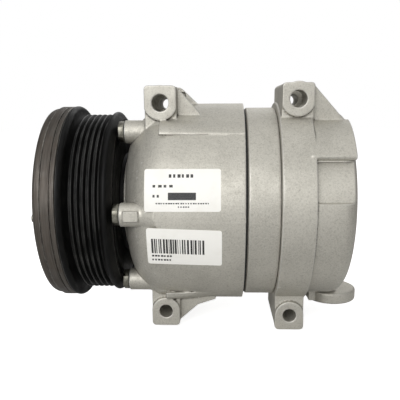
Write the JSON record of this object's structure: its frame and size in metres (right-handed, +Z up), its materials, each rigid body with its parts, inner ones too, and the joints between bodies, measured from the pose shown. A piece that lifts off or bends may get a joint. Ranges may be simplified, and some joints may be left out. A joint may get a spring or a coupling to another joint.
{
  "type": "automotive air conditioning compressor",
  "caption": "Belt-driven wobble-plate refrigerant compressor with grooved clutch pulley, three-part cast housing, mounting ears and rear ports.",
  "frame": {"origin": "on the drive shaft's axis, in the middle plane of the belt", "axes": "+X along the shaft towards the rear head, +Z up towards the upper mounting ears, -Y towards the ears' bolt side"},
  "size_m": [0.2124, 0.1362, 0.1608],
  "materials": {
    "cast_aluminium": "blasted casting, satin",
    "zinc_bolt": "zinc plated",
    "black_paint": "satin black",
    "rotor_steel": "phosphated steel, satin",
    "spring_steel": "satin",
    "bearing_steel": "ground",
    "machined_steel": "turned",
    "piston_alloy": "machined",
    "bronze": "machined",
    "copper_winding": "enamelled wire",
    "connector_plastic": "moulded",
    "tin_plated": "tin plated",
    "seal_rubber": "matt",
    "gasket": "coated sheet",
    "ptfe": "filled PTFE",
    "valve_brass": "machined"
  },
  "bodies": {
    "housing": {"front_head": "cast_aluminium", "cylinder_block": "cast_aluminium", "rear_head": "cast_aluminium", "suction_reed_plate": "spring_steel", "valve_plate": "machined_steel", "discharge_reeds": "spring_steel", "reed_retainer": "spring_steel", "rear_gasket": "gasket", "front_o_ring": "seal_rubber", "rear_o_ring": "seal_rubber", "through_bolts": "zinc_bolt", "bolt_gaskets": "gasket", "coil_housing": "rotor_steel", "coil_winding": "copper_winding", "coil_retaining_ring": "spring_steel", "coil_connector": "connector_plastic", "connector_terminals": "tin_plated", "bearing_inner_ring": "bearing_steel", "bearing_retaining_ring": "spring_steel", "shaft_seal_case": "machined_steel", "shaft_seal_lip": "seal_rubber", "seal_retaining_ring": "spring_steel", "front_bearing": "bearing_steel", "rear_bearing": "bearing_steel", "front_thrust_races": "bearing_steel", "wobble_plate": "piston_alloy", "plate_bush": "bronze", "plate_thrust_races": "bearing_steel", "guide_pin": "machined_steel", "connecting_rods": "machined_steel", "pistons": "piston_alloy", "piston_rings": "ptfe", "control_valve_body": "valve_brass", "control_valve_o_rings": "seal_rubber", "control_valve_retaining_ring": "spring_steel", "relief_valve_body": "valve_brass"},
    "pulley": {"pulley_rim": "black_paint", "clutch_rotor": "rotor_steel", "bearing_outer_ring": "bearing_steel"},
    "bearing_row": {"bearing_balls": "bearing_steel", "bearing_cage": "bearing_steel"},
    "shaft": {"drive_shaft": "machined_steel", "shaft_key": "machined_steel", "shaft_nut": "zinc_bolt", "clutch_hub": "rotor_steel", "hub_rivets": "zinc_bolt", "drive_lug": "machined_steel", "lug_pin": "machined_steel", "sleeve": "machined_steel", "journal": "machined_steel", "journal_pins": "machined_steel", "return_spring": "spring_steel"},
    "thrust_rollers": {"front_thrust_needles": "bearing_steel", "plate_thrust_needles": "bearing_steel"},
    "armature": {"armature_plate": "rotor_steel", "armature_rivets": "zinc_bolt", "armature_springs": "spring_steel"},
    "valve_rod": {"control_valve_rod": "valve_brass"},
    "relief_plug": {"relief_poppet": "valve_brass", "relief_spring": "spring_steel"}
  },
  "joints": [
    {"name": "pulley_spin", "type": "hinge", "parent": "housing", "child": "pulley", "pos_m": [0, 0, 0], "axis": [1, 0, 0], "continuous": true},
    {"name": "bearing_row_spin", "type": "hinge", "parent": "housing", "child": "bearing_row", "pos_m": [0, 0, 0], "axis": [1, 0, 0], "continuous": true},
    {"name": "shaft_spin", "type": "hinge", "parent": "housing", "child": "shaft", "pos_m": [0, 0, 0], "axis": [1, 0, 0], "continuous": true},
    {"name": "thrust_roller_spin", "type": "hinge", "parent": "housing", "child": "thrust_rollers", "pos_m": [0, 0, 0], "axis": [1, 0, 0], "continuous": true},
    {"name": "armature_travel", "type": "slide", "parent": "shaft", "child": "armature", "axis": [1, 0, 0], "range_m": [0, 0.00035], "stiffness_N_per_m": 40000, "deforming": ["armature_springs"]},
    {"name": "control_rod_travel", "type": "slide", "parent": "housing", "child": "valve_rod", "axis": [0, 1, 0], "range_m": [0, 0.0006], "stiffness_N_per_m": 3000},
    {"name": "relief_lift", "type": "slide", "parent": "housing", "child": "relief_plug", "axis": [0, 1, 0], "range_m": [0, 0.0015], "stiffness_N_per_m": 8000, "deforming": ["relief_spring"]}
  ],
  "couplings": [
    {"joint": "bearing_row_spin", "follows": "pulley_spin", "ratio": 0.5627},
    {"joint": "thrust_roller_spin", "follows": "shaft_spin", "ratio": 0.5}
  ]
}
